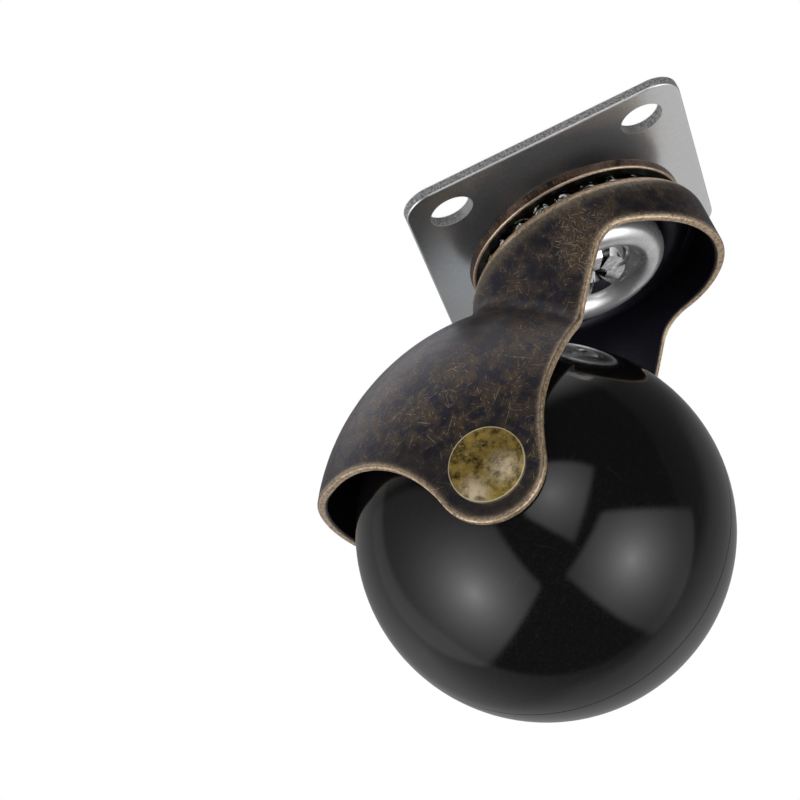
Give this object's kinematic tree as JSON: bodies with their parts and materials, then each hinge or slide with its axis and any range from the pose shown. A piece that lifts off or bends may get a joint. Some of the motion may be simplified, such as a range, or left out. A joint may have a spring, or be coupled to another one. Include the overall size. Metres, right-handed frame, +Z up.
{
  "type": "ball castor",
  "caption": "Swivelling furniture castor: a smooth black ball under a pressed antique bronze hood, on a square screw plate with ball bearings in the swivel.",
  "frame": {"origin": "centre of the plate's mounting face, on the swivel axis", "axes": "+Z up out of the mounting face; +X and +Y along the plate's edges"},
  "size_m": [0.0675, 0.0512, 0.0667],
  "materials": {
    "plate_zinc": "satin zinc",
    "pin_steel": "matt steel",
    "race_bronze": "satin bronze plating",
    "hood_bronze": "antique bronze plating, semi-gloss",
    "cup_nickel": "polished nickel",
    "bearing_steel": "polished steel",
    "rivet_brass": "aged brass, semi-gloss",
    "ball_plastic": "gloss black"
  },
  "bodies": {
    "fixed_plate": {"top_plate": "plate_zinc", "kingpin": "pin_steel", "upper_race": "race_bronze", "lower_cup": "cup_nickel"},
    "swivel_hood": {"hood": "hood_bronze", "axle_rivet": "rivet_brass", "axle_sleeve": "rivet_brass"},
    "ball_wheel": {"ball_half_near": "ball_plastic", "ball_half_far": "ball_plastic"},
    "upper_ball_row": {"upper_ball_01": "bearing_steel", "upper_ball_02": "bearing_steel", "upper_ball_03": "bearing_steel", "upper_ball_04": "bearing_steel", "upper_ball_05": "bearing_steel", "upper_ball_06": "bearing_steel", "upper_ball_07": "bearing_steel", "upper_ball_08": "bearing_steel", "upper_ball_09": "bearing_steel", "upper_ball_10": "bearing_steel", "upper_ball_11": "bearing_steel", "upper_ball_12": "bearing_steel", "upper_ball_13": "bearing_steel", "upper_ball_14": "bearing_steel", "upper_ball_15": "bearing_steel", "upper_ball_16": "bearing_steel", "upper_ball_17": "bearing_steel", "upper_ball_18": "bearing_steel", "upper_ball_19": "bearing_steel", "upper_ball_20": "bearing_steel", "upper_ball_21": "bearing_steel", "upper_ball_22": "bearing_steel", "upper_ball_23": "bearing_steel", "upper_ball_24": "bearing_steel"},
    "lower_ball_row": {"lower_ball_01": "bearing_steel", "lower_ball_02": "bearing_steel", "lower_ball_03": "bearing_steel", "lower_ball_04": "bearing_steel", "lower_ball_05": "bearing_steel", "lower_ball_06": "bearing_steel", "lower_ball_07": "bearing_steel", "lower_ball_08": "bearing_steel", "lower_ball_09": "bearing_steel", "lower_ball_10": "bearing_steel", "lower_ball_11": "bearing_steel", "lower_ball_12": "bearing_steel", "lower_ball_13": "bearing_steel", "lower_ball_14": "bearing_steel", "lower_ball_15": "bearing_steel", "lower_ball_16": "bearing_steel", "lower_ball_17": "bearing_steel"}
  },
  "joints": [
    {"name": "swivel", "type": "hinge", "parent": "fixed_plate", "child": "swivel_hood", "pos_m": [0, 0, 0], "axis": [0, 0, 1], "continuous": true},
    {"name": "ball_spin", "type": "hinge", "parent": "swivel_hood", "child": "ball_wheel", "pos_m": [-0.0215, 0.00291, -0.0417], "axis": [-0.134, -0.991, 0], "continuous": true},
    {"name": "upper_row_roll", "type": "hinge", "parent": "fixed_plate", "child": "upper_ball_row", "pos_m": [0, 0, 0], "axis": [0, 0, 1], "continuous": true},
    {"name": "lower_row_roll", "type": "hinge", "parent": "fixed_plate", "child": "lower_ball_row", "pos_m": [0, 0, 0], "axis": [0, 0, 1], "continuous": true}
  ],
  "couplings": [
    {"joint": "upper_row_roll", "follows": "swivel", "ratio": 0.5},
    {"joint": "lower_row_roll", "follows": "swivel", "ratio": 0.5}
  ]
}
